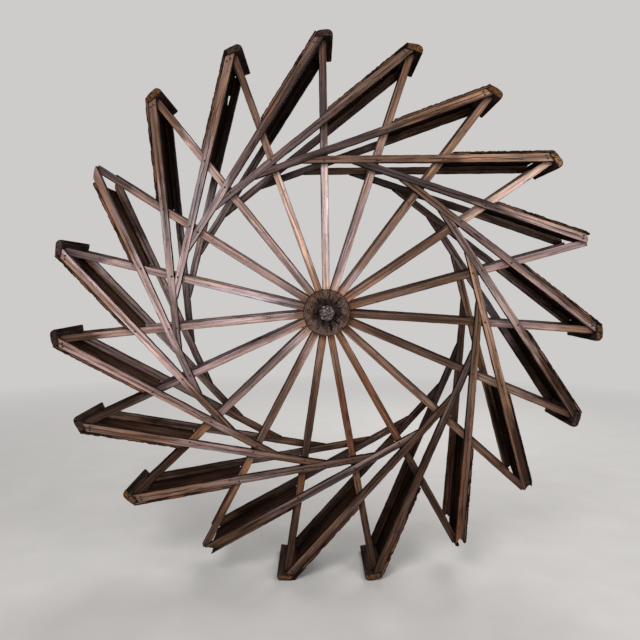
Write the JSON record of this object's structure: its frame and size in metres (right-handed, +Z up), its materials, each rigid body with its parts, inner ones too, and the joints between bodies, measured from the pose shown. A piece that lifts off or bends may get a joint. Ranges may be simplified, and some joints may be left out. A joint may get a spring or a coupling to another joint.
{
  "type": "wooden foot-driven water wheel",
  "caption": "Wooden water wheel with twin rows of spokes, slanting arms that form a ring, paddle boards between them and foot boards on the spoke ends.",
  "frame": {"origin": "on the floor, straight below the middle of the axle, midway between front and rear", "axes": "+Z up, Y along the axle with the front at -Y, +X to the right seen from the front"},
  "size_m": [1.8005, 0.287, 1.7916],
  "materials": {
    "hub_wood": "old, dry and dirty",
    "axle_wood": "grey, grimy end grain",
    "spoke_wood": "old, dry, pinkish brown",
    "arm_wood": "old, dry, brown to purple grey",
    "paddle_wood": "old, dark and rough",
    "tread_wood": "worn, dark faces and orange brown ends"
  },
  "bodies": {
    "root": {"hub": "hub_wood", "axle": "axle_wood", "front_spokes": "spoke_wood", "rear_spokes": "spoke_wood", "front_arms": "arm_wood", "rear_arms": "arm_wood", "paddle_01": "paddle_wood", "tread_01": "tread_wood", "paddle_02": "paddle_wood", "tread_02": "tread_wood", "paddle_03": "paddle_wood", "tread_03": "tread_wood", "paddle_04": "paddle_wood", "tread_04": "tread_wood", "paddle_05": "paddle_wood", "paddle_06": "paddle_wood", "tread_06": "tread_wood", "paddle_07": "paddle_wood", "tread_07": "tread_wood", "paddle_08": "paddle_wood", "paddle_09": "paddle_wood", "paddle_10": "paddle_wood", "tread_10": "tread_wood", "paddle_11": "paddle_wood", "tread_11": "tread_wood", "paddle_12": "paddle_wood", "paddle_13": "paddle_wood", "tread_13": "tread_wood", "paddle_14": "paddle_wood", "tread_14": "tread_wood", "paddle_15": "paddle_wood", "tread_15": "tread_wood", "paddle_16": "paddle_wood", "tread_16": "tread_wood", "paddle_17": "paddle_wood", "paddle_18": "paddle_wood", "tread_18": "tread_wood", "paddle_19": "paddle_wood", "tread_19": "tread_wood"}
  },
  "joints": []
}
